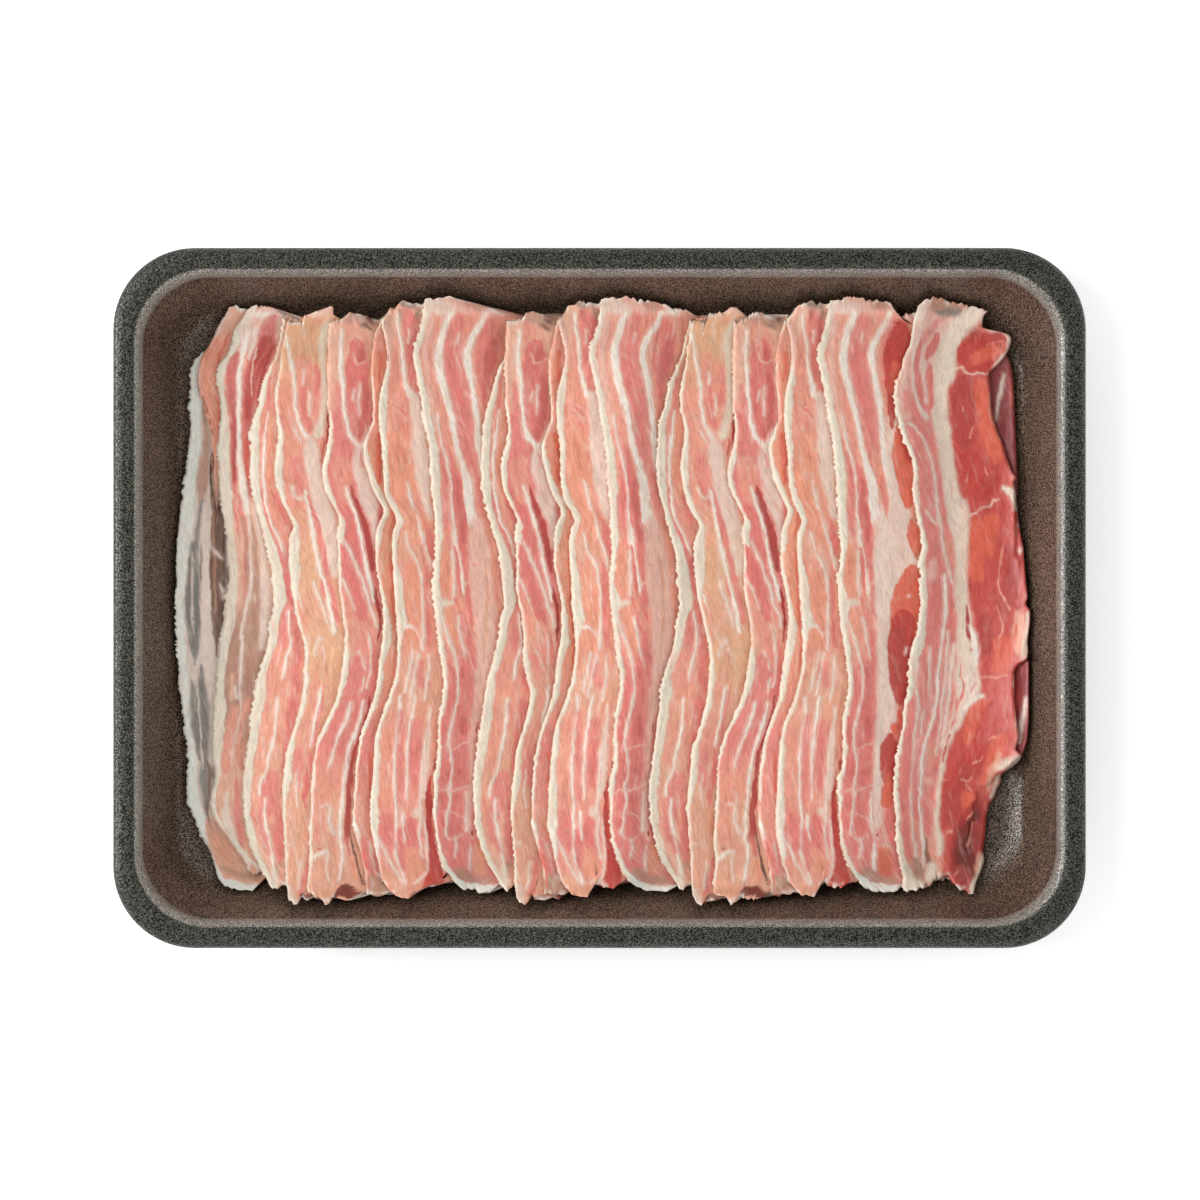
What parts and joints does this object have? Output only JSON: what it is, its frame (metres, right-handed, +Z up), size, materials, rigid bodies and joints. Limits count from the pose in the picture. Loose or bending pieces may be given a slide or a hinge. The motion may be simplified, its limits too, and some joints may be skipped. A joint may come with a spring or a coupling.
{
  "type": "pack of sliced pork belly",
  "caption": "Open foam tray of thin raw pork belly slices, shingled side by side with their fat rims up.",
  "frame": {"origin": "middle of the tray's flat base, on the surface that it stands on", "axes": "+X along the tray's long side, towards the slice that lies on top; +Y along the slices; +Z up"},
  "size_m": [0.25, 0.18, 0.024],
  "materials": {
    "foam": "dark speckled expanded polystyrene with a soft sheen",
    "pork": "raw pork belly, salmon lean with cream fat, moist and slightly glossy"
  },
  "bodies": {
    "root": {"foam_tray": "foam", "pork_slice_01": "pork", "pork_slice_02": "pork", "pork_slice_03": "pork", "pork_slice_04": "pork", "pork_slice_05": "pork", "pork_slice_06": "pork", "pork_slice_07": "pork", "pork_slice_08": "pork", "pork_slice_09": "pork", "pork_slice_10": "pork", "pork_slice_11": "pork", "pork_slice_12": "pork", "pork_slice_13": "pork", "pork_slice_14": "pork", "pork_slice_15": "pork", "pork_slice_16": "pork", "pork_slice_17": "pork", "pork_slice_18": "pork", "pork_slice_19": "pork", "pork_slice_20": "pork", "pork_slice_21": "pork"}
  },
  "joints": []
}
